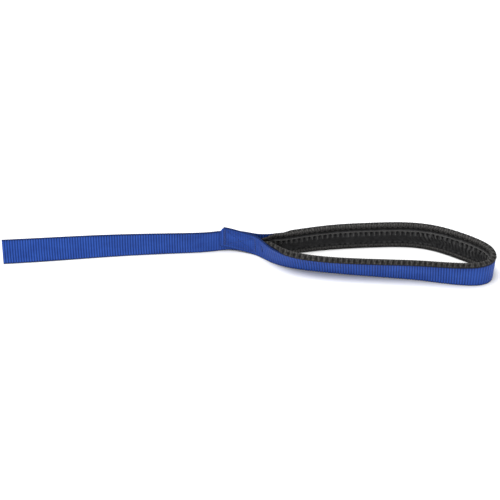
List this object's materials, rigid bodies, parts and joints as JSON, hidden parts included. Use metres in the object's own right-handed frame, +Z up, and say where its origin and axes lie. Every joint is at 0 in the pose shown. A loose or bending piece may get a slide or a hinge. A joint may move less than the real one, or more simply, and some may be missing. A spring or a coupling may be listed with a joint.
{
  "type": "padded hand-loop strap",
  "caption": "Blue ribbed webbing strap with a sewn hand loop lined by a black bound foam pad; the tail bends sideways.",
  "frame": {"origin": "middle of the strap's footprint, on the surface that it stands on", "axes": "+X along the strap from its cut end towards the loop, +Y towards the strap's back, +Z up the webbing's width"},
  "size_m": [0.4692, 0.0694, 0.0306],
  "materials": {
    "webbing": "ribbed woven nylon, soft sheen",
    "pad_fabric": "knitted mesh, matt",
    "binding_tape": "woven tape, matt",
    "pad_thread": "bonded thread, slight sheen",
    "joint_thread": "bonded thread, slight sheen",
    "foam": "closed-cell foam, matt"
  },
  "bodies": {
    "handle": {"loop_webbing": "webbing", "foam_core": "foam", "pad_backing": "pad_fabric", "pad_cover": "pad_fabric", "upper_edge_binding": "binding_tape", "lower_edge_binding": "binding_tape", "upper_pad_stitching": "pad_thread", "lower_pad_stitching": "pad_thread", "box_stitching": "joint_thread", "joint_bar_tacks": "joint_thread", "pad_end_tacks": "joint_thread"},
    "tail_near": {"tail_webbing_near": "webbing"},
    "tail_middle": {"tail_webbing_middle": "webbing"},
    "tail_end": {"tail_webbing_end": "webbing"}
  },
  "joints": [
    {"name": "bend_near", "type": "hinge", "parent": "handle", "child": "tail_near", "pos_m": [-0.04, 0.02235, 0.0125], "axis": [0, 0, 1], "range_deg": [-60, 60]},
    {"name": "bend_middle", "type": "hinge", "parent": "tail_near", "child": "tail_middle", "pos_m": [-0.105, 0.01857, 0.0125], "axis": [0, 0, 1], "range_deg": [-60, 60]},
    {"name": "bend_far", "type": "hinge", "parent": "tail_middle", "child": "tail_end", "pos_m": [-0.17, 0.01316, 0.0125], "axis": [0, 0, 1], "range_deg": [-60, 60]}
  ]
}
